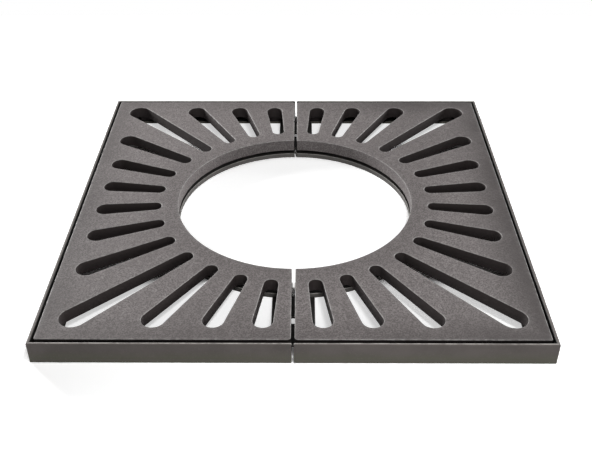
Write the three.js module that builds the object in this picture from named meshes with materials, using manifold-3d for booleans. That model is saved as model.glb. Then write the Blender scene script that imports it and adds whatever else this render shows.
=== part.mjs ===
// Square cast iron tree grate in two halves, lying in a split frame of steel angle.
// Millimetres, +Z up. The origin is on the ground under the middle of the tree opening.
// The seam between the two halves runs along Y, and the front is at -Y.

import * as THREE from 'three';
import { mergeVertices } from 'three/addons/utils/BufferGeometryUtils.js';
import Module from 'manifold-3d';

const wasm = await Module();
wasm.setup();

// Frame of steel angle
const frameSide = 1020;
const flangeWidth = 45;
const angleThickness = 6;
const angleToeRadius = 3;
const frameGap = 4.5;

// Inner ring, which stands in a little under the edge of the tree opening, and the bars that hold it
const openingRadius = 276;
const ringInset = 1;
const ringWidth = 40;
const ringThickness = 12;
const sideTieWidth = 40;
const seamTieWidth = 90;
const tieThickness = 6;
const anchorHoleDiameter = 22;

// Castings, which lie pushed back towards the rear rail
const grateThickness = 30;
const grateClearance = 5;
const grateSetBack = 3;
const seamGap = 7;
const grateCornerRadius = 3;
const seamCornerRadius = 7;
const openingCornerRadius = 2;

// Slots, whose sides run along rays from the middle
const slotCount = 28;
const slotHalfAngle = THREE.MathUtils.degToRad(2.65);
const openingRim = 39;
const outerBorder = 35;
const firstSlotShift = 9.5;
const secondSlotShift = 2.7;

// Bearing pads under the castings, on the flange and on the ring
const padInset = 1;
const padCornerClearance = 5;
const padLength = 70;
const cornerPadDistance = 90;
const seamPadDistance = 50;
const ringPadHeight = 6.7;
const ringPadLength = 26;
const ringPadWidth = 40;
const ringPadRibs = [-5, 0, 5];

// Fits: rest gap under the pads, gap between welded pieces, and the overrun of joins
const seatGap = 0.3;
const weldGap = 0.3;
const overrun = 2;

// Steps of the round outlines
const openingSteps = 48;
const slotEndSteps = 8;
const cornerSteps = 4;
const holeSteps = 24;

// Sizes that follow from the ones above
const frameHalf = frameSide / 2;
const frameHeight = ringThickness + seatGap + ringPadHeight + grateThickness;
const grateHalf = frameHalf - angleThickness - grateClearance;
const grateUnderside = frameHeight - grateThickness;
const ringInnerRadius = openingRadius - ringInset;
const ringOuterRadius = ringInnerRadius + ringWidth;
const slotLimit = grateHalf - outerBorder;
const slotPitch = 2 * Math.PI / slotCount;
const slotWidening = Math.sin(slotHalfAngle);
const slotInnerCentre = (openingRadius + openingRim) / (1 - slotWidening);
const cornerEdge = frameHalf - angleThickness - padCornerClearance - grateSetBack;
const padOuterEdge = Math.min(grateHalf, cornerEdge) - padInset;
const padInnerEdge = frameHalf - flangeWidth + grateSetBack + seatGap;

const ironMaterial = { color: 0x767070, roughness: 0.62, metalness: 0.35 };
const steelMaterial = { color: 0x55504d, roughness: 0.55, metalness: 0.4 };

// Points of an arc, ends included
function arc(x, y, radius, start, end, steps) {
  const points = [];
  for (let i = 0; i <= steps; i++) {
    const angle = start + (end - start) * i / steps;
    points.push(new THREE.Vector2(x + radius * Math.cos(angle), y + radius * Math.sin(angle)));
  }
  return points;
}

// Flat outline, with holes, raised from one height to another
function plate(outline, holes, bottom, top) {
  const shape = new THREE.Shape(outline);
  shape.holes = holes.map((points) => new THREE.Path(points));
  const geometry = new THREE.ExtrudeGeometry(shape, { depth: top - bottom, bevelEnabled: false });
  return geometry.translate(0, 0, bottom);
}

// Closed geometry to solid, and back again
function toSolid(geometry) {
  const bare = geometry.clone();
  bare.deleteAttribute('normal');
  bare.deleteAttribute('uv');
  const merged = mergeVertices(bare);
  return new wasm.Manifold(new wasm.Mesh({
    numProp: 3,
    vertProperties: new Float32Array(merged.attributes.position.array),
    triVerts: new Uint32Array(merged.index.array),
  }));
}

function toGeometry(solid) {
  const mesh = solid.getMesh();
  const geometry = new THREE.BufferGeometry();
  geometry.setAttribute('position', new THREE.BufferAttribute(mesh.vertProperties, 3));
  geometry.setIndex(new THREE.BufferAttribute(mesh.triVerts, 1));
  geometry.computeVertexNormals();
  return geometry;
}

function addMesh(group, name, geometry, look) {
  const mesh = new THREE.Mesh(geometry, new THREE.MeshStandardMaterial(look));
  mesh.name = name;
  group.add(mesh);
  return mesh;
}

// Outline of the right casting: a half square with a half round opening
function castingOutline() {
  const seam = seamGap / 2;
  const quarter = Math.PI / 2;
  const seamCorner = grateHalf - seamCornerRadius;
  const outerCorner = grateHalf - grateCornerRadius;
  const mouthCentreX = seam + openingCornerRadius;
  const mouthCentreRadius = openingRadius + openingCornerRadius;
  const mouthAngle = Math.acos(mouthCentreX / mouthCentreRadius);
  const mouthCentreY = mouthCentreRadius * Math.sin(mouthAngle);
  return [
    ...arc(mouthCentreX, -mouthCentreY, openingCornerRadius, Math.PI - mouthAngle, Math.PI, cornerSteps),
    ...arc(seam + seamCornerRadius, -seamCorner, seamCornerRadius, Math.PI, Math.PI + quarter, cornerSteps),
    ...arc(outerCorner, -outerCorner, grateCornerRadius, -quarter, 0, cornerSteps),
    ...arc(outerCorner, outerCorner, grateCornerRadius, 0, quarter, cornerSteps),
    ...arc(seam + seamCornerRadius, seamCorner, seamCornerRadius, quarter, Math.PI, cornerSteps),
    ...arc(mouthCentreX, mouthCentreY, openingCornerRadius, Math.PI, Math.PI + mouthAngle, cornerSteps),
    ...arc(0, 0, openingRadius, mouthAngle, -mouthAngle, openingSteps).slice(1, -1),
  ];
}

// A slot widens outward and has round ends. Its outer end meets the square line inside the border,
// and the slots next to the seam are moved away from it to leave a stronger edge.
function slotOutline(index) {
  const angle = -Math.PI / 2 + (index + 0.5) * slotPitch;
  const direction = new THREE.Vector2(Math.cos(angle), Math.sin(angle));
  const reach = Math.max(Math.abs(direction.x), Math.abs(direction.y));
  const slotOuterCentre = slotLimit / (reach + slotWidening);
  const fromSeam = Math.min(index, slotCount / 2 - 1 - index);
  const shift = [firstSlotShift, secondSlotShift][fromSeam] ?? 0;
  const inner = direction.clone().multiplyScalar(slotInnerCentre);
  const outer = direction.clone().multiplyScalar(slotOuterCentre);
  const side = Math.PI / 2 + slotHalfAngle;
  const innerRadius = slotInnerCentre * slotWidening;
  const outerRadius = slotOuterCentre * slotWidening;
  return [
    ...arc(inner.x + shift, inner.y, innerRadius, angle + side, angle + 2 * Math.PI - side, slotEndSteps),
    ...arc(outer.x + shift, outer.y, outerRadius, angle - side, angle + side, slotEndSteps),
  ];
}

// Block under the casting, turned to lie along a rib or an edge
function pad(x, y, lengthX, widthY, bottom, angle) {
  const top = grateUnderside + overrun;
  const block = new THREE.BoxGeometry(lengthX, widthY, top - bottom);
  block.rotateZ(angle);
  block.translate(x, y, (top + bottom) / 2);
  return toSolid(block);
}

function castingGeometry() {
  const slots = Array.from({ length: slotCount / 2 }, (_, index) => slotOutline(index));
  let solid = toSolid(plate(castingOutline(), slots, grateUnderside, frameHeight));

  // Pads on the flange, along the side, front and rear
  const flangeSeat = angleThickness + seatGap;
  const edge = (padOuterEdge + padInnerEdge) / 2;
  const padWidth = padOuterEdge - padInnerEdge;
  const corner = grateHalf - cornerPadDistance;
  for (const y of [-corner, 0, corner]) {
    solid = solid.add(pad(edge, y, padWidth, padLength, flangeSeat, 0));
  }
  for (const x of [seamPadDistance, corner]) {
    for (const y of [-edge, edge]) {
      solid = solid.add(pad(x, y, padLength, padWidth, flangeSeat, 0));
    }
  }

  // Pads on the ring, under the side rib and under one rib near each end of the half ring
  const ringSeat = ringThickness + seatGap;
  const middle = ringInnerRadius + ringWidth / 2;
  for (const rib of ringPadRibs) {
    const angle = rib * slotPitch;
    const x = middle * Math.cos(angle);
    const y = middle * Math.sin(angle);
    solid = solid.add(pad(x, y, ringPadLength, ringPadWidth, ringSeat, angle));
  }
  return toGeometry(solid);
}

// Section of the steel angle: first the distance in from the outer face, then the height
function angleSection() {
  const quarter = Math.PI / 2;
  const toe = angleToeRadius;
  return [
    new THREE.Vector2(0, 0),
    new THREE.Vector2(flangeWidth, 0),
    ...arc(flangeWidth - toe, angleThickness - toe, toe, 0, quarter, cornerSteps),
    new THREE.Vector2(angleThickness, angleThickness),
    ...arc(angleThickness - toe, frameHeight - toe, toe, 0, quarter, cornerSteps),
    new THREE.Vector2(0, frameHeight),
  ];
}

// Rail along the front, running along X between two ends.
// An end is either mitred at the frame's corner or cut square at the seam.
function railGeometry(leftEnd, rightEnd) {
  const unitDepth = 1;
  const section = new THREE.Shape(angleSection());
  const geometry = new THREE.ExtrudeGeometry(section, { depth: unitDepth, bevelEnabled: false });
  const position = geometry.attributes.position;
  const mitrePull = weldGap / Math.SQRT2;
  const squareEnd = frameGap / 2;
  for (let i = 0; i < position.count; i++) {
    const inward = position.getX(i);
    const height = position.getY(i);
    const atRight = position.getZ(i) > unitDepth / 2;
    const mitreEnd = frameHalf - inward - mitrePull;
    const end = atRight ? rightEnd : leftEnd;
    const x = (atRight ? 1 : -1) * (end === 'mitre' ? mitreEnd : -squareEnd);
    position.setXYZ(i, x, inward - frameHalf, height);
  }
  geometry.computeVertexNormals();
  return geometry;
}

function addRail(group, name, quarterTurns, leftEnd, rightEnd) {
  const rail = addMesh(group, name, railGeometry(leftEnd, rightEnd), steelMaterial);
  rail.rotation.z = quarterTurns * Math.PI / 2;
}

// Right half of the inner ring, cut square at the seam
function ringGeometry() {
  const cut = frameGap / 2;
  const outerAngle = Math.acos(cut / ringOuterRadius);
  const innerAngle = Math.acos(cut / ringInnerRadius);
  const outline = [
    ...arc(0, 0, ringOuterRadius, -outerAngle, outerAngle, openingSteps),
    ...arc(0, 0, ringInnerRadius, innerAngle, -innerAngle, openingSteps),
  ];
  return plate(outline, [], 0, ringThickness);
}

// Flat bar along X between ring and flange, with or without the hole for a ground anchor
function tieGeometry(width, hasHole) {
  const start = ringOuterRadius + weldGap;
  const end = frameHalf - flangeWidth - weldGap;
  const side = width / 2;
  const outline = [
    new THREE.Vector2(start, -side),
    new THREE.Vector2(end, -side),
    new THREE.Vector2(end, side),
    new THREE.Vector2(start, side),
  ];
  const hole = arc((start + end) / 2, 0, anchorHoleDiameter / 2, 0, 2 * Math.PI, holeSteps).slice(1);
  return plate(outline, hasHole ? [hole] : [], 0, tieThickness);
}

function addTie(group, name, quarterTurns, width, hasHole) {
  const tie = addMesh(group, name, tieGeometry(width, hasHole), steelMaterial);
  tie.rotation.z = quarterTurns * Math.PI / 2;
}

// Frame half with its half ring and side tie, seen from above with the seam on its left
function frameHalfGroup(side, frontEnds, rearEnds) {
  const group = new THREE.Group();
  const quarterTurns = side === 'right' ? 0 : 2;
  addRail(group, `frame_side_${side}`, quarterTurns + 1, 'mitre', 'mitre');
  addRail(group, `frame_front_${side}`, 0, ...frontEnds);
  addRail(group, `frame_rear_${side}`, 2, ...rearEnds);
  const ring = addMesh(group, `ring_${side}`, ringGeometry(), steelMaterial);
  ring.rotation.z = quarterTurns * Math.PI / 2;
  addTie(group, `tie_side_${side}`, quarterTurns, sideTieWidth, false);
  return group;
}

const treeGrate = new THREE.Group();

const leftFrame = frameHalfGroup('left', ['mitre', 'square'], ['square', 'mitre']);
addTie(leftFrame, 'tie_seam_front', -1, seamTieWidth, true);
addTie(leftFrame, 'tie_seam_rear', 1, seamTieWidth, true);
treeGrate.add(leftFrame);

const rightFrame = frameHalfGroup('right', ['square', 'mitre'], ['mitre', 'square']);
treeGrate.add(rightFrame);

const castings = new THREE.Group();
castings.position.y = grateSetBack;
treeGrate.add(castings);

const casting = castingGeometry();
addMesh(castings, 'grate_right', casting, ironMaterial);
const leftCasting = addMesh(castings, 'grate_left', casting.clone(), ironMaterial);
leftCasting.rotation.z = Math.PI;

export default treeGrate;
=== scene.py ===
# Square cast iron tree grate in two halves, lying in a split frame of steel angle.
# Metres, +Z up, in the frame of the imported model. The seam runs along Y, and the front is at -Y.

import math

import bmesh
import bpy
import numpy as np
from mathutils import Matrix, Vector, kdtree, noise
from mathutils.geometry import delaunay_2d_cdt

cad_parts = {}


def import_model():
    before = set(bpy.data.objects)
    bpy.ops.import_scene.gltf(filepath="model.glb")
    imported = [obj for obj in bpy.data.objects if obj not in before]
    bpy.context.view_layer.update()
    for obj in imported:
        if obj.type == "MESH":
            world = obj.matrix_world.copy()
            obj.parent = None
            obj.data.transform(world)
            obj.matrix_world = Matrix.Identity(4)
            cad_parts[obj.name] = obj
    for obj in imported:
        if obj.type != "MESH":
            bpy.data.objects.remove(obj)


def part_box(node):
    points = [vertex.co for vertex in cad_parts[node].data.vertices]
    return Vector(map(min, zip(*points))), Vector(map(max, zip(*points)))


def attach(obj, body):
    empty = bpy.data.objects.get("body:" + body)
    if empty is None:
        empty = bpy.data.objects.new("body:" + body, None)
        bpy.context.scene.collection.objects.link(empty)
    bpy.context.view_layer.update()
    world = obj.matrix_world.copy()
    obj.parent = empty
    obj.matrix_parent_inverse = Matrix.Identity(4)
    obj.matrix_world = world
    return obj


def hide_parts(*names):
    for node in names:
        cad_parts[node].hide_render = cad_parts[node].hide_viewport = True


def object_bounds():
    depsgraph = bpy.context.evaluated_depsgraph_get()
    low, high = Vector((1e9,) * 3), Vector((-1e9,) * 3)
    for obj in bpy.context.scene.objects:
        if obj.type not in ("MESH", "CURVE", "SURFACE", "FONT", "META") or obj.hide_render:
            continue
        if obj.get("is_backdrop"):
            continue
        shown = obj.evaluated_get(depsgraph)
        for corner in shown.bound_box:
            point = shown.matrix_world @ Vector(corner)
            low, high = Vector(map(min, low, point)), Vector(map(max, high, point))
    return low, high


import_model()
cad_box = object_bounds()

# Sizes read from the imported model
rail_low, rail_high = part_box("frame_side_right")
grate_low, grate_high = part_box("grate_right")
ring_low, ring_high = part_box("ring_right")
bar_low, bar_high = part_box("tie_side_right")
TOP = rail_high.z
FRAME_HALF = rail_high.x
FLANGE_WIDTH = rail_high.x - rail_low.x
GRATE_HALF = grate_high.x
SET_BACK = (grate_low.y + grate_high.y) / 2
SEAM_HALF = grate_low.x
RING_OUTER = ring_high.x
RING_HEIGHT = ring_high.z
GAP_HALF = ring_low.x
BAR_START = bar_low.x
BAR_END = bar_high.x
BAR_HEIGHT = bar_high.z
SIDE_BAR_HALF = bar_high.y
SEAM_BAR_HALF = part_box("tie_seam_front")[1].x

# Rolled angle
ANGLE_THICKNESS = 0.006
TOE_RADIUS = 0.003
ROOT_RADIUS = 0.0045
ANGLE_EDGE = 0.0008
RUBBED_EDGE = 0.0012
MITRE_PULL = 0.0002
MITRE_EDGE = 0.0003
SQUARE_EDGE = 0.0006
END_CORNER = 0.0028

# Ring and flat bars, with the holes for ground anchors halfway along the seam bars
RING_WIDTH = 0.040
RING_INNER = RING_OUTER - RING_WIDTH
BAR_EDGE = 0.001
HOLE_RADIUS = 0.011
HOLE_PLACE = (BAR_START + BAR_END) / 2

# Weld beads
BEAD_WIDTH = 0.006
BEAD_HEIGHT = 0.0022
BEAD_SINK = 0.0006
BEAD_SIDES = 12
BEAD_BLUNTNESS = 8
BEAD_END_AREA = 0.02
BEAD_WANDER = 0.0006
BEAD_WAVES_PER_METRE = 150
RIPPLE_LENGTH = 0.0024
RIPPLE_SHARE = 0.14
RIPPLE_STEPS = 6

# Castings
GRATE_THICKNESS = 0.030
UNDERSIDE = TOP - GRATE_THICKNESS
OPENING_RADIUS = 0.276
OPENING_RIM = 0.039
OUTER_BORDER = 0.035
OUTER_CORNER = 0.003
SEAM_CORNER = 0.007
MOUTH_CORNER = 0.002
TOP_EDGE = 0.0015
LOWER_EDGE = 0.0012

# Unevenness of the sand castings: depth and size of the waves
FACE_WAVE = 0.0003
FACE_WAVE_SIZE = 0.07
EDGE_WAVE = 0.00035
EDGE_WAVE_SIZE = 0.022

# Slots, the nearest to the seam first in the list of shifts away from it
SLOT_COUNT = 28
SLOT_PITCH = 2 * math.pi / SLOT_COUNT
SLOT_HALF_ANGLE = math.radians(2.65)
SLOT_WIDENING = math.sin(SLOT_HALF_ANGLE)
SLOT_LIMIT = GRATE_HALF - OUTER_BORDER
SLOT_INNER = (OPENING_RADIUS + OPENING_RIM) / (1 - SLOT_WIDENING)
SLOT_SHIFTS = (0.0095, 0.0027)

# Bearing pads under the castings, on the flange and on the ring
SEAT_GAP = 0.0003
PAD_CLEARANCE = 0.006
PAD_OUTER = FRAME_HALF - ANGLE_THICKNESS - SET_BACK - PAD_CLEARANCE
PAD_INNER = FRAME_HALF - FLANGE_WIDTH + SET_BACK + SEAT_GAP
PAD_LENGTH = 0.070
PAD_CORNER_DISTANCE = 0.090
PAD_SEAM_DISTANCE = 0.050
PAD_ROUNDING = 0.0015
FLANGE_SEAT = ANGLE_THICKNESS + SEAT_GAP
RING_SEAT = RING_HEIGHT + SEAT_GAP
RING_PAD_LENGTH = 0.026
RING_PAD_WIDTH = 0.040
RING_PAD_RIBS = (-5, 0, 5)

# Spacing of the points, the least steps in an arc, and the distance at which points count as one
GRID_STEP = 0.008
SIDE_STEP = 0.005
ARC_STEP = 0.003
HOLE_STEP = 0.0015
CORNER_STEP = 0.001
BEND_STEP = 0.0006
ROUND_STEPS = 4
MERGE_DISTANCE = 1e-9

# Wear and painted shade of a surface, from painted shade in a gap to metal rubbed bright
# Painted shade in the gap between a casting and the frame
SHADED_GAP = -2
# Painted shade in the slots, under the castings, on the inner faces of the angle and on the tops of the ring
# and bars
SHADED = -1
PLAIN = 0
RUBBED = 1
FACE_EDGE_WEAR = 0.3

# Wear and painted highlight of the angle: how far the top of each rail is rubbed and painted brighter, and
# where on its section
FRONT_RUB_AND_HIGHLIGHT = 1
SIDE_RUB_AND_HIGHLIGHT = 0.3
OUTER_EDGE_SHARE = 0.2
OUTER_FACE = 0.1 * RUBBED_EDGE
OUTER_EDGE = 1.1 * RUBBED_EDGE
FOOT_HEIGHT = 0.9 * ANGLE_THICKNESS
RUBBED_DEPTH = 0.0008

# Painted shade along the border of the castings, least near the lightest x: from where it starts to where it
# is whole
BORDER_SHADE = (0.385, 0.53)
LIGHTEST_X = -0.12
FROM_LIGHTEST_X = (0.1, 0.62)
LEAST_BORDER_SHADE = 0.36

# Darker round the opening, more in front than at the rear, and only at the top
RIM_WIDTH = 0.1
RIM_DARKENING = 0.24
RIM_FRONT_TO_REAR = (0, 0.3)
RIM_REAR_SHARE = 0.3
RIM_DEPTH = (0.001, 0.003)

# Painted shade in spots on the castings: middle, reach and share
SHADE_SPOTS = (((-0.1, -0.5, 0.05), 0.28, 0.22), ((0.34, 0.36, 0.05), 0.22, 0.18))

# Colours of the cast iron
IRON_DARK = (0.184, 0.165, 0.163)
IRON_LIGHT = (0.222, 0.2, 0.198)
IRON_PATCH = (0.265, 0.242, 0.24)
IRON_MOTTLE = (0.123, 0.109, 0.107)
IRON_GRAIN = (0.112, 0.1, 0.098)
# Painted shade on the border and in spots, and the darker rim round the opening
IRON_SHADE_AND_RIM = (0.05, 0.043, 0.042)
IRON_PIT = (0.05, 0.045, 0.044)
IRON_RUBBED = (0.42, 0.41, 0.4)
# Painted shade: near-black in the slots and under the castings
IRON_SHADE = (0.028, 0.022, 0.0215)
# Painted shade: deeper still on the outer walls, in the gap beside the frame
IRON_GAP_SHADE = (0.008, 0.006, 0.006)

# Colours of the steel: dark and light clouds of each coat, the foot of the angle, wear with painted
# highlight, and painted shade
ANGLE_COAT = ((0.079, 0.069, 0.065), (0.108, 0.094, 0.089))
BAR_COAT = ((0.1, 0.094, 0.088), (0.135, 0.128, 0.12))
WELD_COAT = ((0.08, 0.075, 0.068), (0.11, 0.104, 0.095))
STEEL_FOOT = (0.088, 0.086, 0.066)
# Rubbed steel, partly a painted highlight along the tops of the rails
STEEL_RUBBED_AND_HIGHLIGHT = (0.45, 0.43, 0.4)
# Painted shade: near-black on the inner faces of the angle and the tops of the ring and bars
STEEL_SHADE = (0.012, 0.011, 0.01)

# Olive foot of the angle: its share, the heights between which it fades, and how far these wander
FOOT_SHARE = 0.8
FOOT_FADE = (0.02, 0.045)
FOOT_WANDER = 0.02

# Floor, and its colour to bounced light, in reflections, and as seen under the frame and beside it; the
# colour under the frame is brighter, as painted light
FLOOR_HALF = 8
FLOOR_COLOUR = (0.3, 0.3, 0.3)
FLOOR_MIRRORED_COLOUR = (1.1, 1.1, 1.1)
FLOOR_UNDER_PAINTED_LIGHT_COLOUR = (1.7, 1.7, 1.7)
FLOOR_SEEN_COLOUR = (1.6, 1.6, 1.6)

# White glow of the floor, for the camera alone, and the soft edges of where it is: painted light in the
# opening, the anchor holes and under the front and rear slots, and plain white far away
FLOOR_PAINTED_LIGHT = 0.55
REAR_HOLE_LIGHT_SHARE = 0.4
PAINTED_LIGHT_BEFORE = (-0.28, -0.24)
PAINTED_LIGHT_BEHIND = (0.33, 0.37)
PAINTED_LIGHT_BESIDE_SEAM = (0.006, 0.009)
PAINTED_LIGHT_RING_FADE = 0.02
PAINTED_LIGHT_HOLE_FADE = 0.003
GLOW_FAR = (0.65, 1.3)

# Light: strength of the world, and the name, place, size and power of each soft light
WORLD_LIGHT = 0.06
SOFT_LIGHTS = (
    ("key", (0.65, -1.1, 2.7), 0.55, 35.5),
    ("left_fill", (-2.05, 1.5, 0.65), 0.8, 101),
    ("right_fill", (3.2, 2.0, 0.64), 1.2, 155),
    ("front_fill", (0.25, -1.6, 0.5), 0.6, 9),
)

# Camera at the photograph's place, with lens and picture width in millimetres
CAMERA_LENS = 52.53
CAMERA_SENSOR = 36
CAMERA_PLACE = (0.0173, -1.7266, 1.1731)
CAMERA_YAW = math.radians(-0.478)
CAMERA_PITCH = math.radians(35.705)
CAMERA_ROLL = math.radians(-0.183)


# Outlines, as lists of flat points with the metal on their left, and surfaces made of them

def arc(centre, radius, start, end, step=ARC_STEP):
    """Points along an arc, ends included, about a step apart."""
    count = max(ROUND_STEPS, math.ceil(abs(end - start) * radius / step))
    angles = [start + (end - start) * i / count for i in range(count + 1)]
    return [Vector(centre) + radius * Vector((math.cos(a), math.sin(a))) for a in angles]


def quarter_turns():
    """The angles of a quarter round in steps."""
    return [math.pi / 2 * i / ROUND_STEPS for i in range(ROUND_STEPS + 1)]


def rounded(corners, step):
    """A closed outline whose square corners (x, y, radius) are rounded."""
    outline = []
    for i, (x, y, radius) in enumerate(corners):
        here = Vector((x, y))
        back = (Vector(corners[i - 1][:2]) - here).normalized()
        on = (Vector(corners[(i + 1) % len(corners)][:2]) - here).normalized()
        centre = here + (back + on) * radius
        count = max(ROUND_STEPS, math.ceil(radius / step))
        for k in range(count + 1):
            turn = math.pi / 2 * k / count
            outline.append(centre - on * radius * math.cos(turn) - back * radius * math.sin(turn))
    return outline


def spaced(outline, step):
    """The closed outline with points added so that no side is longer than a step."""
    result = []
    for here, there in zip(outline, outline[1:] + outline[:1]):
        count = max(1, math.ceil((there - here).length / step))
        result += [here.lerp(there, i / count) for i in range(count)]
    return result


def inset(outline, distances):
    """The closed outline with each point moved to its left."""
    moved = []
    for i, here in enumerate(outline):
        before = (here - outline[i - 1]).normalized()
        after = (outline[(i + 1) % len(outline)] - here).normalized()
        left = Vector((-before.y - after.y, before.x + after.x))
        moved.append(here + left * distances[i] / (1 + before.dot(after)))
    return moved


def level(outline, depth, height):
    """The closed outline drawn in by a depth, at a height."""
    return [(*p, height) for p in inset(outline, [depth] * len(outline))]


def inside(points, loops):
    """Whether each point lies inside an odd number of the loops."""
    x, y = np.array(points).T
    odd = np.zeros(len(points), bool)
    for loop in loops:
        for (ax, ay), (bx, by) in zip(loop, loop[1:] + loop[:1]):
            if ay != by:
                odd ^= ((ay > y) != (by > y)) & (x < ax + (bx - ax) * (y - ay) / (by - ay))
    return odd


class Shell:
    """A closed surface made of rows of points, which walls join and caps close."""

    def __init__(self):
        self.points = []
        self.faces = []
        self.wear_and_shade = []

    def row(self, points, wear_and_shade=PLAIN):
        """The numbers of new points, whose wear and painted shade is one value or a list."""
        first = len(self.points)
        self.points += [Vector(p) for p in points]
        self.wear_and_shade += wear_and_shade if isinstance(wear_and_shade, list) else [wear_and_shade] * len(points)
        return list(range(first, len(self.points)))

    def wall(self, rows):
        """Faces between each closed row and the next."""
        for low, high in zip(rows, rows[1:]):
            for i in range(len(low)):
                self.faces.append((low[i - 1], low[i], high[i], high[i - 1]))

    def cap(self, loops, inner=(), across=(0, 1)):
        """Triangles between closed rows, seen across two of the axes, with inner points among them."""
        used = [i for loop in loops for i in loop] + list(inner)
        flat = [Vector([self.points[i][axis] for axis in across]) for i in used]
        edges = []
        start = 0
        for loop in loops:
            edges += [(start + k, start + (k + 1) % len(loop)) for k in range(len(loop))]
            start += len(loop)
        made, _, triangles, origins, _, _ = delaunay_2d_cdt(flat, edges, [], 0, MERGE_DISTANCE)
        middles = [sum((made[k] for k in triangle), Vector((0, 0))) / 3 for triangle in triangles]
        outlines = [[tuple(self.points[i][axis] for axis in across) for i in loop] for loop in loops]
        for triangle, kept in zip(triangles, inside(middles, outlines)):
            if kept:
                self.faces.append([used[origins[k][0]] for k in triangle])

    def turn(self, quarters):
        """Turns the surface about the middle by quarter turns."""
        matrix = Matrix.Rotation(quarters * math.pi / 2, 4, "Z")
        self.points = [matrix @ p for p in self.points]

    def piece(self, name, node, body, slot, material):
        """Makes an object that stands for a CAD node, or is added to a body."""
        mesh = bpy.data.meshes.new(name)
        mesh.from_pydata(self.points, [], self.faces)
        shape = bmesh.new()
        shape.from_mesh(mesh)
        bmesh.ops.recalc_face_normals(shape, faces=shape.faces)
        shape.to_mesh(mesh)
        shape.free()
        mesh.shade_smooth()
        mesh.attributes.new("wear_and_shade", "FLOAT", "POINT").data.foreach_set("value", self.wear_and_shade)
        mesh.materials.append(material)
        piece = bpy.data.objects.new(name, mesh)
        piece.modifiers.new("flat faces", "WEIGHTED_NORMAL").keep_sharp = False
        bpy.context.scene.collection.objects.link(piece)
        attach(piece, body)
        if node:
            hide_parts(node)


def edge_rows(bottom, top, low_radius, high_radius):
    """(inset, height, wear and shade) of the rows up the side of a plate with rounded edges, painted shade at
    the foot.
    """
    rows = []
    for turn in quarter_turns():
        depth = low_radius * (1 - math.sin(turn))
        rows.append((depth, bottom + low_radius * (1 - math.cos(turn)), PLAIN if turn else SHADED))
    for turn in quarter_turns()[:-1]:
        depth = high_radius * (1 - math.cos(turn))
        rows.append((depth, top - high_radius * (1 - math.sin(turn)), math.sin(2 * turn) ** 0.5))
    rows.append((high_radius, top, FACE_EDGE_WEAR))
    return rows


# Castings

def casting_outline():
    """Right casting: a half square with a half round opening."""
    outer = GRATE_HALF - OUTER_CORNER
    seam_x = SEAM_HALF + SEAM_CORNER
    seam_y = GRATE_HALF - SEAM_CORNER
    mouth_x = SEAM_HALF + MOUTH_CORNER
    mouth_radius = OPENING_RADIUS + MOUTH_CORNER
    mouth_angle = math.acos(mouth_x / mouth_radius)
    mouth_y = mouth_radius * math.sin(mouth_angle)
    quarter = math.pi / 2
    return [
        *arc((mouth_x, -mouth_y), MOUTH_CORNER, math.pi - mouth_angle, math.pi),
        *arc((seam_x, -seam_y), SEAM_CORNER, math.pi, 3 * quarter, CORNER_STEP),
        *arc((outer, -outer), OUTER_CORNER, -quarter, 0, CORNER_STEP),
        *arc((outer, outer), OUTER_CORNER, 0, quarter, CORNER_STEP),
        *arc((seam_x, seam_y), SEAM_CORNER, quarter, math.pi, CORNER_STEP),
        *arc((mouth_x, mouth_y), MOUTH_CORNER, math.pi, math.pi + mouth_angle)[:-1],
        *arc((0, 0), OPENING_RADIUS, mouth_angle, -mouth_angle)[:-1],
    ]


def slot_outline(index):
    """A slot widens outward between rays from the middle, and its outer end meets a square line."""
    angle = -math.pi / 2 + (index + 0.5) * SLOT_PITCH
    along = Vector((math.cos(angle), math.sin(angle)))
    distance = SLOT_LIMIT / (max(abs(along.x), abs(along.y)) + SLOT_WIDENING)
    from_seam = min(index, SLOT_COUNT // 2 - 1 - index)
    shift = Vector((SLOT_SHIFTS[from_seam] if from_seam < len(SLOT_SHIFTS) else 0, 0))
    side = math.pi / 2 + SLOT_HALF_ANGLE
    inner_turn = (angle + side, angle + 2 * math.pi - side)
    inner_end = arc(along * SLOT_INNER + shift, SLOT_INNER * SLOT_WIDENING, *inner_turn)
    outer_end = arc(along * distance + shift, distance * SLOT_WIDENING, angle - side, angle + side)
    return (inner_end + outer_end)[::-1]


def pads():
    """(outline, seat height) of each bearing pad under the right casting."""
    edge = (PAD_OUTER + PAD_INNER) / 2
    corner = GRATE_HALF - PAD_CORNER_DISTANCE
    width = PAD_OUTER - PAD_INNER
    places = [(edge, y, width, PAD_LENGTH, 0, FLANGE_SEAT) for y in (-corner, 0, corner)]
    for x in (PAD_SEAM_DISTANCE, corner):
        places += [(x, y, PAD_LENGTH, width, 0, FLANGE_SEAT) for y in (-edge, edge)]
    middle = RING_OUTER - RING_WIDTH / 2
    for rib in RING_PAD_RIBS:
        angle = rib * SLOT_PITCH
        x = middle * math.cos(angle)
        y = middle * math.sin(angle)
        places.append((x, y, RING_PAD_LENGTH, RING_PAD_WIDTH, angle, RING_SEAT))
    result = []
    for x, y, length, width, angle, seat in places:
        turn = Matrix.Rotation(angle, 2)
        signs = ((-1, -1), (1, -1), (1, 1), (-1, 1))
        corners = [(a * length / 2, b * width / 2, 2 * PAD_ROUNDING) for a, b in signs]
        result.append(([Vector((x, y)) + turn @ p for p in rounded(corners, CORNER_STEP)], seat))
    return result


def add_pad(shell, outline, seat):
    """Adds a pad that flares into the underside, and gives its upper row."""
    bends = [(PAD_ROUNDING * (1 - math.sin(t)), PAD_ROUNDING * (1 - math.cos(t))) for t in quarter_turns()]
    stages = [(-out, UNDERSIDE - down) for out, down in bends]
    stages += [(depth, seat + up) for depth, up in reversed(bends)]
    # The pads take the painted shade of the underside
    rows = [shell.row(level(outline, depth, height), SHADED) for depth, height in stages]
    shell.wall(rows)
    shell.cap([rows[-1]])
    return rows[0]


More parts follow.
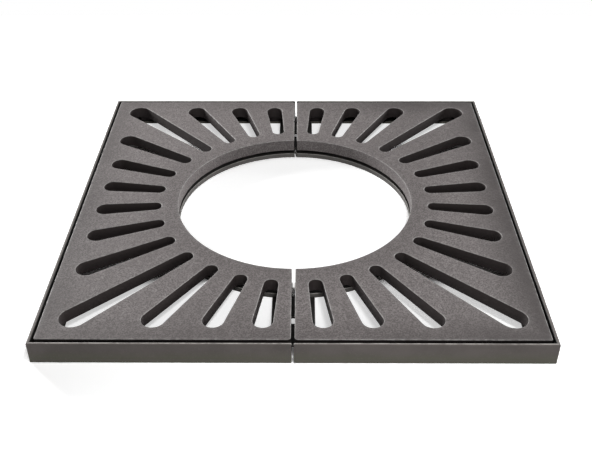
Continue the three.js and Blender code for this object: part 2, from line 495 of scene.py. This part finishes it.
def grid_points(loops):
    """A triangular grid of points inside the loops, clear of their edges."""
    corners = [p for loop in loops for p in loop]
    tree = kdtree.KDTree(len(corners))
    for i, p in enumerate(corners):
        tree.insert((*p, 0), i)
    tree.balance()
    low = Vector((min(p.x for p in corners), min(p.y for p in corners)))
    high = Vector((max(p.x for p in corners), max(p.y for p in corners)))
    rise = GRID_STEP * math.sin(math.pi / 3)
    grid = []
    for j in range(int((high.y - low.y) / rise) + 1):
        for i in range(int((high.x - low.x) / GRID_STEP) + 1):
            grid.append(Vector((low.x + (i + j % 2 / 2) * GRID_STEP, low.y + j * rise)))
    kept = inside(grid, [[tuple(p) for p in loop] for loop in loops])
    return [p for p, is_kept in zip(grid, kept) if is_kept and tree.find((*p, 0))[2] > SIDE_STEP]


def waves(x, y, size):
    """Smooth unevenness from 0 to 1."""
    return 0.5 + 0.5 * noise.noise(Vector((x / size, y / size, 0)))


def uneven(x, y, z):
    """A point of a casting, sunk a little by the waves in the face above it."""
    share = (z - UNDERSIDE) / GRATE_THICKNESS
    return Vector((x, y, z - share * FACE_WAVE * waves(x, y, FACE_WAVE_SIZE)))


def casting(side, material):
    """One half of the grate: right as outlined, left turned half round."""
    sign = 1 if side == "right" else -1

    def place(outline):
        return [Vector((sign * p.x, sign * p.y + SET_BACK)) for p in outline]

    # The outer wall takes the deepest painted shade, for the gap beside the frame, and the slot walls the
    # painted shade of the slots
    outlines = [(place(casting_outline()), SHADED_GAP)]
    outlines += [(place(slot_outline(i)), SHADED) for i in range(SLOT_COUNT // 2)]
    shell = Shell()
    undersides = []
    faces = []
    middle = Vector((0, SET_BACK))
    for outline, side_shade in outlines:
        outline = spaced(outline, SIDE_STEP)
        wobble = [EDGE_WAVE * waves(*p, EDGE_WAVE_SIZE) for p in outline]
        off_opening = [(p - middle).length > OPENING_RADIUS + 2 * MOUTH_CORNER for p in outline]
        rows = []
        for depth, height, wear_and_shade in edge_rows(UNDERSIDE, TOP, LOWER_EDGE, TOP_EDGE):
            points = inset(outline, [depth + extra for extra in wobble])
            # The wall of the opening keeps the plain wear, and every other wall takes the painted shade of
            # its outline
            upright = height <= TOP - TOP_EDGE
            wear_and_shades = [side_shade if upright and off else wear_and_shade for off in off_opening]
            rows.append(shell.row([uneven(*p, height) for p in points], wear_and_shades))
        shell.wall(rows)
        undersides.append(rows[0])
        faces.append(rows[-1])
    grid = grid_points([[shell.points[i].xy for i in loop] for loop in faces])
    shell.cap(faces, shell.row([uneven(*p, TOP) for p in grid]))
    undersides += [add_pad(shell, place(outline), seat) for outline, seat in pads()]
    shell.cap(undersides)
    shell.piece(f"casting_{side}", f"grate_{side}", f"{side}_grate", "casting", material)


# Frame

def angle_section():
    """Rolled angle: distance in from the outer face, and height."""
    return rounded([
        (0, 0, ANGLE_EDGE),
        (FLANGE_WIDTH, 0, ANGLE_EDGE),
        (FLANGE_WIDTH, ANGLE_THICKNESS, TOE_RADIUS),
        (ANGLE_THICKNESS, ANGLE_THICKNESS, ROOT_RADIUS),
        (ANGLE_THICKNESS, TOP, TOE_RADIUS),
        (0, TOP, RUBBED_EDGE),
    ], BEND_STEP)


def angle_wear_and_shade(inward, height, rub_and_highlight):
    """Wear and painted shade in the section: plain outside and at the foot, rubbed along the top with painted
    highlight, painted shade inside.
    """
    if height < FOOT_HEIGHT or inward < OUTER_FACE:
        return PLAIN
    if inward < OUTER_EDGE:
        return OUTER_EDGE_SHARE * rub_and_highlight
    return rub_and_highlight if height > TOP - RUBBED_DEPTH else SHADED


def end_stations(kind):
    """(distance from the end, inset) of the rows that round a rail's end."""
    edge = SQUARE_EDGE if kind == "square" else MITRE_EDGE
    stations = [(edge * (1 - math.cos(t)), edge * (1 - math.sin(t))) for t in quarter_turns()]
    if kind == "square":
        stations += [(edge + (END_CORNER - edge) * share, 0) for share in (0.25, 0.5, 1)]
    return stations


def rail(name, body, quarters, left_end, right_end, rub_and_highlight, material):
    """Steel angle made along the front, each end mitred or square, then turned by quarter turns."""
    section = angle_section()
    wear_and_shade = [angle_wear_and_shade(inward, height, rub_and_highlight) for inward, height in section]
    shell = Shell()

    def row(toward, kind, distance, depth):
        """A row across the rail at a distance from its left (-1) or right (1) end."""
        drop = 0
        if kind == "square" and distance < END_CORNER:
            drop = END_CORNER - math.sqrt(END_CORNER ** 2 - (END_CORNER - distance) ** 2)
        points = []
        for inward, height in inset(section, [depth] * len(section)):
            height = min(max(height, drop), TOP - drop)
            end = FRAME_HALF - inward - MITRE_PULL if kind == "mitre" else -GAP_HALF
            points.append((toward * (end - distance), inward - FRAME_HALF, height))
        return shell.row(points, wear_and_shade)

    rows = [row(-1, left_end, *station) for station in end_stations(left_end)]
    rows += [row(1, right_end, *station) for station in reversed(end_stations(right_end))]
    shell.wall(rows)
    shell.cap([rows[0]], across=(1, 2))
    shell.cap([rows[-1]], across=(1, 2))
    shell.turn(quarters)
    shell.piece(name.replace("frame", "rail"), name, body, "frame", material)


def flat_bar(name, node, body, outlines, height, quarters, material):
    """Flat bar or ring on the ground with rounded edges, its top face in painted shade."""
    shell = Shell()
    lows = []
    highs = []
    for outline in outlines:
        # The top face of each bar and of the ring takes painted shade
        rows = [
            shell.row(level(outline, depth, rise), SHADED if rise == height else wear_and_shade)
            for depth, rise, wear_and_shade in edge_rows(0, height, BAR_EDGE, BAR_EDGE)
        ]
        shell.wall(rows)
        lows.append(rows[0])
        highs.append(rows[-1])
    shell.cap(lows)
    shell.cap(highs)
    shell.turn(quarters)
    shell.piece(name, node, body, "flat_bar", material)


def ring_outline():
    """Right half of the ring, cut square at the seam."""
    outer_angle = math.acos(GAP_HALF / RING_OUTER)
    inner_angle = math.acos(GAP_HALF / RING_INNER)
    outer_side = arc((0, 0), RING_OUTER, -outer_angle, outer_angle)
    return outer_side + arc((0, 0), RING_INNER, inner_angle, -inner_angle)


def bar_outlines(half, has_hole):
    """Bar along X between ring and flange, with or without the hole for a ground anchor."""
    corners = ((BAR_START, -half), (BAR_END, -half), (BAR_END, half), (BAR_START, half))
    outlines = [rounded([(x, y, 2 * BAR_EDGE) for x, y in corners], BEND_STEP)]
    if has_hole:
        outlines.append(arc((HOLE_PLACE, 0), HOLE_RADIUS, 2 * math.pi, 0, HOLE_STEP)[:-1])
    return outlines


def bead(name, body, start, end, material):
    """Weld bead between two points on the steel: a low ridge with ripples and thin ends."""
    start = Vector(start)
    end = Vector(end)
    along = (end - start).normalized()
    across = along.cross(Vector((0, 0, 1)))
    length = (end - start).length
    count = math.ceil(length / RIPPLE_LENGTH * RIPPLE_STEPS)
    shell = Shell()
    rows = []
    for i in range(count + 1):
        share = i / count
        place = start.lerp(end, share)
        taper = math.sqrt(max(BEAD_END_AREA, 1 - abs(2 * share - 1) ** BEAD_BLUNTNESS))
        ripple = 1 - RIPPLE_SHARE + RIPPLE_SHARE * abs(math.sin(math.pi * share * length / RIPPLE_LENGTH))
        wander = BEAD_WANDER * noise.noise(place * BEAD_WAVES_PER_METRE)
        points = []
        for k in range(BEAD_SIDES):
            turn = 2 * math.pi * k / BEAD_SIDES
            side = math.cos(turn) * BEAD_WIDTH / 2 * taper + wander
            rise = math.sin(turn) * BEAD_HEIGHT * taper * ripple
            points.append(place + across * side + Vector((0, 0, max(rise, -BEAD_SINK))))
        rows.append(shell.row(points))
    shell.wall(rows)
    shell.faces += [rows[0], rows[-1]]
    shell.piece(name, None, body, "frame", material)


def corner_and_bar_beads(material):
    """Weld beads on the flange at the mitres, and at both ends of the side bars."""
    mitre_start = FRAME_HALF - FLANGE_WIDTH + TOE_RADIUS
    mitre_end = FRAME_HALF - ANGLE_THICKNESS - ROOT_RADIUS
    for side, x in (("left", -1), ("right", 1)):
        body = f"{side}_frame"
        for place, y in (("front", -1), ("rear", 1)):
            start = (x * mitre_start, y * mitre_start, ANGLE_THICKNESS)
            end = (x * mitre_end, y * mitre_end, ANGLE_THICKNESS)
            bead(f"weld_corner_{place}_{side}", body, start, end, material)
        for place, distance in (("ring", BAR_START), ("flange", BAR_END)):
            start = (x * distance, -SIDE_BAR_HALF, BAR_HEIGHT)
            end = (x * distance, SIDE_BAR_HALF, BAR_HEIGHT)
            bead(f"weld_bar_{place}_{side}", body, start, end, material)


def seam_bar_beads(material):
    """Weld beads at both ends of the seam bars, on the left half alone and clear of the pad on the flange."""
    pad_end = PAD_LENGTH / 2 - PAD_SEAM_DISTANCE + PAD_ROUNDING
    for place, y in (("front", -1), ("rear", 1)):
        for joint, distance, x in (("ring", BAR_START, -SIDE_BAR_HALF), ("flange", BAR_END, pad_end)):
            start = (x, y * distance, BAR_HEIGHT)
            end = (-2 * GAP_HALF, y * distance, BAR_HEIGHT)
            bead(f"weld_seam_bar_{joint}_{place}", "left_frame", start, end, material)


# Materials

class Nodes:
    """Short names for making shader nodes."""

    MIX_COLOUR_INPUTS = (6, 7)
    MIX_COLOUR_OUTPUT = 2

    def __init__(self, name):
        self.material = bpy.data.materials.new(name)
        self.material.use_nodes = True
        self.tree = self.material.node_tree
        self.shader = self.tree.nodes["Principled BSDF"]
        self.place = self.add("ShaderNodeTexCoord").outputs["Object"]
        apart = self.add("ShaderNodeSeparateXYZ")
        self.link(self.place, apart.inputs["Vector"])
        self.x, self.y, self.z = apart.outputs

    def add(self, kind, **values):
        """A new node with these settings."""
        node = self.tree.nodes.new(kind)
        for name, value in values.items():
            setattr(node, name, value)
        return node

    def link(self, source, target):
        """Joins an output to an input."""
        self.tree.links.new(source, target)

    def wear_and_shade(self):
        """The wear and painted shade that is kept with the points of a surface."""
        return self.add("ShaderNodeAttribute", attribute_name="wear_and_shade").outputs["Fac"]

    def noise(self, size, detail, roughness=0.55):
        """Noise whose features are about a size across, from 0 to 1."""
        node = self.add("ShaderNodeTexNoise")
        node.inputs["Scale"].default_value = 1 / size
        node.inputs["Detail"].default_value = detail
        node.inputs["Roughness"].default_value = roughness
        self.link(self.place, node.inputs["Vector"])
        return node.outputs["Fac"]

    def from_middle(self):
        """Distance from the middle, measured square."""
        return self.math("MAXIMUM", self.math("ABSOLUTE", self.x, 0), self.math("ABSOLUTE", self.y, 0))

    def distance(self, point):
        """Distance from a point."""
        node = self.add("ShaderNodeVectorMath", operation="DISTANCE")
        self.link(self.place, node.inputs[0])
        node.inputs[1].default_value = point
        return node.outputs["Value"]

    def ramp(self, source, low, high, to_low=0.0, to_high=1.0):
        """A smooth step from to_low to to_high as the source goes from low to high."""
        node = self.add("ShaderNodeMapRange", interpolation_type="SMOOTHSTEP")
        for name, value in zip(("From Min", "From Max", "To Min", "To Max"), (low, high, to_low, to_high)):
            node.inputs[name].default_value = value
        self.link(source, node.inputs["Value"])
        return node.outputs["Result"]

    def math(self, operation, first, second):
        """The result for two values, each a number or an output."""
        node = self.add("ShaderNodeMath", operation=operation)
        for value, target in zip((first, second), node.inputs):
            if isinstance(value, (int, float)):
                target.default_value = value
            else:
                self.link(value, target)
        return node.outputs["Value"]

    def mix(self, share, first, second):
        """Colour mix; a colour is a tuple or an output."""
        node = self.add("ShaderNodeMix", data_type="RGBA")
        self.link(share, node.inputs["Factor"])
        for value, number in zip((first, second), self.MIX_COLOUR_INPUTS):
            if isinstance(value, tuple):
                node.inputs[number].default_value = (*value, 1)
            else:
                self.link(value, node.inputs[number])
        return node.outputs[self.MIX_COLOUR_OUTPUT]

    def bump(self, heights):
        """Bumps stacked on each other: (height output, depth)."""
        normal = None
        for height, depth in heights:
            node = self.add("ShaderNodeBump")
            node.inputs["Distance"].default_value = depth
            self.link(height, node.inputs["Height"])
            if normal:
                self.link(normal, node.inputs["Normal"])
            normal = node.outputs["Normal"]
        self.link(normal, self.shader.inputs["Normal"])


def iron_shade_and_rim(n):
    """Share of darkening on a casting: painted shade on the border and in spots, and darker round the
    opening, all broken up by noise.
    """
    from_lightest_x = n.math("ABSOLUTE", n.math("SUBTRACT", n.x, LIGHTEST_X), 0)
    sides = n.ramp(from_lightest_x, *FROM_LIGHTEST_X, LEAST_BORDER_SHADE, 1)
    border = n.math("MULTIPLY", n.ramp(n.from_middle(), *BORDER_SHADE), sides)
    rim_end = OPENING_RADIUS + RIM_WIDTH
    rim = n.ramp(n.distance((0, 0, 0)), OPENING_RADIUS, rim_end, RIM_DARKENING, 0)
    rim = n.math("MULTIPLY", rim, n.ramp(n.y, *RIM_FRONT_TO_REAR, 1, RIM_REAR_SHARE))
    whole, none = RIM_DEPTH
    rim = n.math("MULTIPLY", rim, n.ramp(n.z, TOP - none, TOP - whole))
    darkening = n.math("MAXIMUM", border, rim)
    for point, reach, share in SHADE_SPOTS:
        darkening = n.math("ADD", darkening, n.ramp(n.distance(point), 0, reach, share, 0))
    return n.math("MULTIPLY", darkening, n.ramp(n.noise(size=0.16, detail=3), 0.35, 0.6, 0.75, 1.1))


def iron_material():
    """Sand-cast grey iron: grain, cloudy patches, pits, bright edges, painted shade in the slots and gaps,
    painted shade on the border and in spots, and a darker rim round the opening.
    """
    n = Nodes("cast_iron")
    clouds = n.noise(size=0.12, detail=3)
    patches = n.noise(size=0.018, detail=5, roughness=0.6)
    grain = n.noise(size=0.0028, detail=2, roughness=0.5)
    mottle = n.noise(size=0.011, detail=3, roughness=0.6)
    pits = n.ramp(n.noise(size=0.006, detail=2), 0.66, 0.74)
    wear_and_shade = n.wear_and_shade()
    broken = n.ramp(n.noise(size=0.012, detail=4), 0.35, 0.65, 0.3, 1)
    worn = n.math("MULTIPLY", n.ramp(wear_and_shade, PLAIN, RUBBED), broken)
    colour = n.mix(n.ramp(clouds, 0.3, 0.7), IRON_DARK, IRON_LIGHT)
    colour = n.mix(n.ramp(patches, 0.35, 0.7, 0, 0.5), colour, IRON_PATCH)
    colour = n.mix(n.ramp(mottle, 0.35, 0.65, 0, 0.4), colour, IRON_MOTTLE)
    colour = n.mix(n.ramp(grain, 0.4, 0.6), colour, IRON_GRAIN)
    # Painted shade on the border and in spots, and the darker rim round the opening
    colour = n.mix(iron_shade_and_rim(n), colour, IRON_SHADE_AND_RIM)
    colour = n.mix(n.math("MULTIPLY", pits, 0.5), colour, IRON_PIT)
    colour = n.mix(n.math("MULTIPLY", worn, 0.6), colour, IRON_RUBBED)
    # Painted shade in the slots and under the castings
    colour = n.mix(n.ramp(wear_and_shade, SHADED, PLAIN, 1, 0), colour, IRON_SHADE)
    # Deeper painted shade in the gap beside the frame
    colour = n.mix(n.ramp(wear_and_shade, SHADED_GAP, SHADED, 1, 0), colour, IRON_GAP_SHADE)
    n.link(colour, n.shader.inputs["Base Color"])
    roughness = n.ramp(patches, 0.3, 0.7, 0.6, 0.72)
    n.link(n.math("SUBTRACT", roughness, n.math("MULTIPLY", worn, 0.15)), n.shader.inputs["Roughness"])
    n.bump([(patches, 0.0006), (grain, 0.0003), (n.math("SUBTRACT", 1, pits), 0.0002)])
    n.shader.inputs["Specular IOR Level"].default_value = 0.25
    return n.material


def steel_material(name, dark, light, foot_share=0.0):
    """Coated rolled steel: clouds, specks, rubbed edges with painted highlight, painted shade inside, and the
    olive foot of the angle.
    """
    n = Nodes(name)
    clouds = n.noise(size=0.09, detail=4)
    specks = n.noise(size=0.004, detail=3, roughness=0.65)
    fine = n.noise(size=0.0012, detail=2, roughness=0.6)
    wear_and_shade = n.wear_and_shade()
    broken = n.ramp(n.noise(size=0.02, detail=5, roughness=0.7), 0.4, 0.6, 0.3, 1)
    worn = n.math("MULTIPLY", n.ramp(wear_and_shade, PLAIN, RUBBED), broken)
    height = n.math("ADD", n.z, n.math("MULTIPLY", clouds, FOOT_WANDER))
    colour = n.mix(n.ramp(clouds, 0.3, 0.7), dark, light)
    colour = n.mix(n.ramp(height, *FOOT_FADE, foot_share, 0), colour, STEEL_FOOT)
    colour = n.mix(n.ramp(specks, 0.5, 0.8, 0, 0.4), colour, tuple(1.35 * c for c in light))
    # Rubbed wear, with painted highlight along the tops of the rails
    colour = n.mix(n.math("MULTIPLY", worn, 0.8), colour, STEEL_RUBBED_AND_HIGHLIGHT)
    # Painted shade on the inner faces of the angle and the tops of the ring and bars
    colour = n.mix(n.ramp(wear_and_shade, SHADED, PLAIN, 1, 0), colour, STEEL_SHADE)
    n.link(colour, n.shader.inputs["Base Color"])
    n.link(n.ramp(specks, 0.3, 0.7, 0.48, 0.6), n.shader.inputs["Roughness"])
    n.bump([(clouds, 0.0005), (specks, 0.00015), (fine, 0.00008)])
    n.shader.inputs["Specular IOR Level"].default_value = 0.3
    return n.material


def floor_painted_light_and_far_white(n, outside):
    """Share of the white glow: painted light in the opening and holes and under the front and rear slots, and
    plain white far away.
    """
    behind = n.ramp(n.y, *PAINTED_LIGHT_BEHIND, 0, FLOOR_PAINTED_LIGHT)
    before = n.ramp(n.y, *PAINTED_LIGHT_BEFORE, FLOOR_PAINTED_LIGHT, 0)
    beside_seam = n.ramp(n.math("ABSOLUTE", n.x, 0), *PAINTED_LIGHT_BESIDE_SEAM)
    slots = n.math("MULTIPLY", n.math("ADD", behind, before), beside_seam)
    opening = n.ramp(n.distance((0, 0, 0)), RING_INNER - PAINTED_LIGHT_RING_FADE, RING_INNER, FLOOR_PAINTED_LIGHT, 0)
    share = n.math("MAXIMUM", opening, slots)
    hole_end = HOLE_RADIUS + PAINTED_LIGHT_HOLE_FADE
    for y, hole_share in ((-HOLE_PLACE, 1), (HOLE_PLACE, REAR_HOLE_LIGHT_SHARE)):
        hole = n.ramp(n.distance((0, y, 0)), HOLE_RADIUS, hole_end, hole_share * FLOOR_PAINTED_LIGHT, 0)
        share = n.math("MAXIMUM", share, hole)
    share = n.math("MULTIPLY", share, n.ramp(outside, 0, 1, 1, 0))
    return n.math("MAXIMUM", share, n.ramp(n.from_middle(), *GLOW_FAR))


def floor_material():
    """Paper that keeps the object's shadow: white to the camera and in reflections, grey as a light, with
    painted light under the frame.
    """
    n = Nodes("floor")
    n.tree.nodes.remove(n.shader)
    rays = n.add("ShaderNodeLightPath").outputs
    mirrored = n.math("MAXIMUM", rays["Is Glossy Ray"], rays["Is Transmission Ray"])
    outside = n.ramp(n.from_middle(), FRAME_HALF - ANGLE_THICKNESS, FRAME_HALF)
    colour = n.mix(mirrored, FLOOR_COLOUR, FLOOR_MIRRORED_COLOUR)
    # Painted light: the floor under the frame is seen brighter than beside it
    seen_colour = n.mix(outside, FLOOR_UNDER_PAINTED_LIGHT_COLOUR, FLOOR_SEEN_COLOUR)
    colour = n.mix(rays["Is Camera Ray"], colour, seen_colour)
    diffuse = n.add("ShaderNodeBsdfDiffuse")
    n.link(colour, diffuse.inputs["Color"])
    glow = n.add("ShaderNodeEmission")
    surface = n.add("ShaderNodeMixShader")
    n.link(n.math("MULTIPLY", floor_painted_light_and_far_white(n, outside), rays["Is Camera Ray"]), surface.inputs[0])
    n.link(diffuse.outputs["BSDF"], surface.inputs[1])
    n.link(glow.outputs["Emission"], surface.inputs[2])
    n.link(surface.outputs["Shader"], n.tree.nodes["Material Output"].inputs["Surface"])
    return n.material


# Studio

def floor():
    """A wide square floor, which isn't part of the object."""
    mesh = bpy.data.meshes.new("floor")
    corners = [(x * FLOOR_HALF, y * FLOOR_HALF, 0) for x, y in ((-1, -1), (1, -1), (1, 1), (-1, 1))]
    mesh.from_pydata(corners, [], [(0, 1, 2, 3)])
    mesh.materials.append(floor_material())
    sheet = bpy.data.objects.new("floor", mesh)
    bpy.context.scene.collection.objects.link(sheet)
    sheet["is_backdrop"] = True


def world():
    """A world that is white where it is seen, and dim as a light."""
    studio = bpy.data.worlds.new("studio")
    bpy.context.scene.world = studio
    studio.use_nodes = True
    tree = studio.node_tree
    rays = tree.nodes.new("ShaderNodeLightPath").outputs
    seen = rays["Is Camera Ray"]
    for ray in ("Is Glossy Ray", "Is Transmission Ray"):
        either = tree.nodes.new("ShaderNodeMath")
        either.operation = "MAXIMUM"
        tree.links.new(seen, either.inputs[0])
        tree.links.new(rays[ray], either.inputs[1])
        seen = either.outputs["Value"]
    strength = tree.nodes.new("ShaderNodeMapRange")
    strength.inputs["To Min"].default_value = WORLD_LIGHT
    strength.inputs["To Max"].default_value = 1
    tree.links.new(seen, strength.inputs["Value"])
    background = tree.nodes["Background"]
    tree.links.new(strength.outputs["Result"], background.inputs["Strength"])
    background.inputs["Color"].default_value = (1, 1, 1, 1)


def soft_light(name, place, size, power):
    """A square soft light that faces the middle of the grate."""
    lamp = bpy.data.lights.new(name, "AREA")
    lamp.size = size
    lamp.energy = power
    light = bpy.data.objects.new(name, lamp)
    light.location = place
    light.rotation_euler = (-Vector(place)).to_track_quat("-Z", "Y").to_euler()
    bpy.context.scene.collection.objects.link(light)


def camera():
    """The camera, at the photograph's place and angles."""
    data = bpy.data.cameras.new("camera")
    data.sensor_width = CAMERA_SENSOR
    data.lens = CAMERA_LENS
    viewer = bpy.data.objects.new("camera", data)
    bpy.context.scene.collection.objects.link(viewer)
    viewer.matrix_world = (
        Matrix.Translation(CAMERA_PLACE)
        @ Matrix.Rotation(-CAMERA_YAW, 4, "Z")
        @ Matrix.Rotation(math.pi / 2 - CAMERA_PITCH, 4, "X")
        @ Matrix.Rotation(CAMERA_ROLL, 4, "Z")
    )
    bpy.context.scene.camera = viewer
    bpy.context.scene.view_settings.view_transform = "Standard"


# Build

iron = iron_material()
angle_coat = steel_material("coated_angle", *ANGLE_COAT, FOOT_SHARE)
bar_coat = steel_material("coated_bar", *BAR_COAT)
weld_coat = steel_material("coated_weld", *WELD_COAT)

for side in ("left", "right"):
    casting(side, iron)

# Each half, with the left and right ends of its front and rear rails before the rear one is turned
for side, quarters, front, rear in (
    ("left", 2, ("mitre", "square"), ("square", "mitre")),
    ("right", 0, ("square", "mitre"), ("mitre", "square")),
):
    body = f"{side}_frame"
    rail(f"frame_side_{side}", body, quarters + 1, "mitre", "mitre", SIDE_RUB_AND_HIGHLIGHT, angle_coat)
    # The front rail is rubbed most, partly a painted highlight
    rail(f"frame_front_{side}", body, 0, *front, FRONT_RUB_AND_HIGHLIGHT, angle_coat)
    rail(f"frame_rear_{side}", body, 2, *rear, SIDE_RUB_AND_HIGHLIGHT, angle_coat)
    flat_bar(f"half_ring_{side}", f"ring_{side}", body, [ring_outline()], RING_HEIGHT, quarters, bar_coat)
    side_bar = bar_outlines(SIDE_BAR_HALF, False)
    flat_bar(f"side_bar_{side}", f"tie_side_{side}", body, side_bar, BAR_HEIGHT, quarters, bar_coat)

for place, quarters in (("front", -1), ("rear", 1)):
    seam_bar = bar_outlines(SEAM_BAR_HALF, True)
    flat_bar(f"seam_bar_{place}", f"tie_seam_{place}", "left_frame", seam_bar, BAR_HEIGHT, quarters, bar_coat)

corner_and_bar_beads(weld_coat)
seam_bar_beads(weld_coat)

floor()
world()
for soft_box in SOFT_LIGHTS:
    soft_light(*soft_box)
camera()

[[list(corner) for corner in box] for box in (cad_box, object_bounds())]
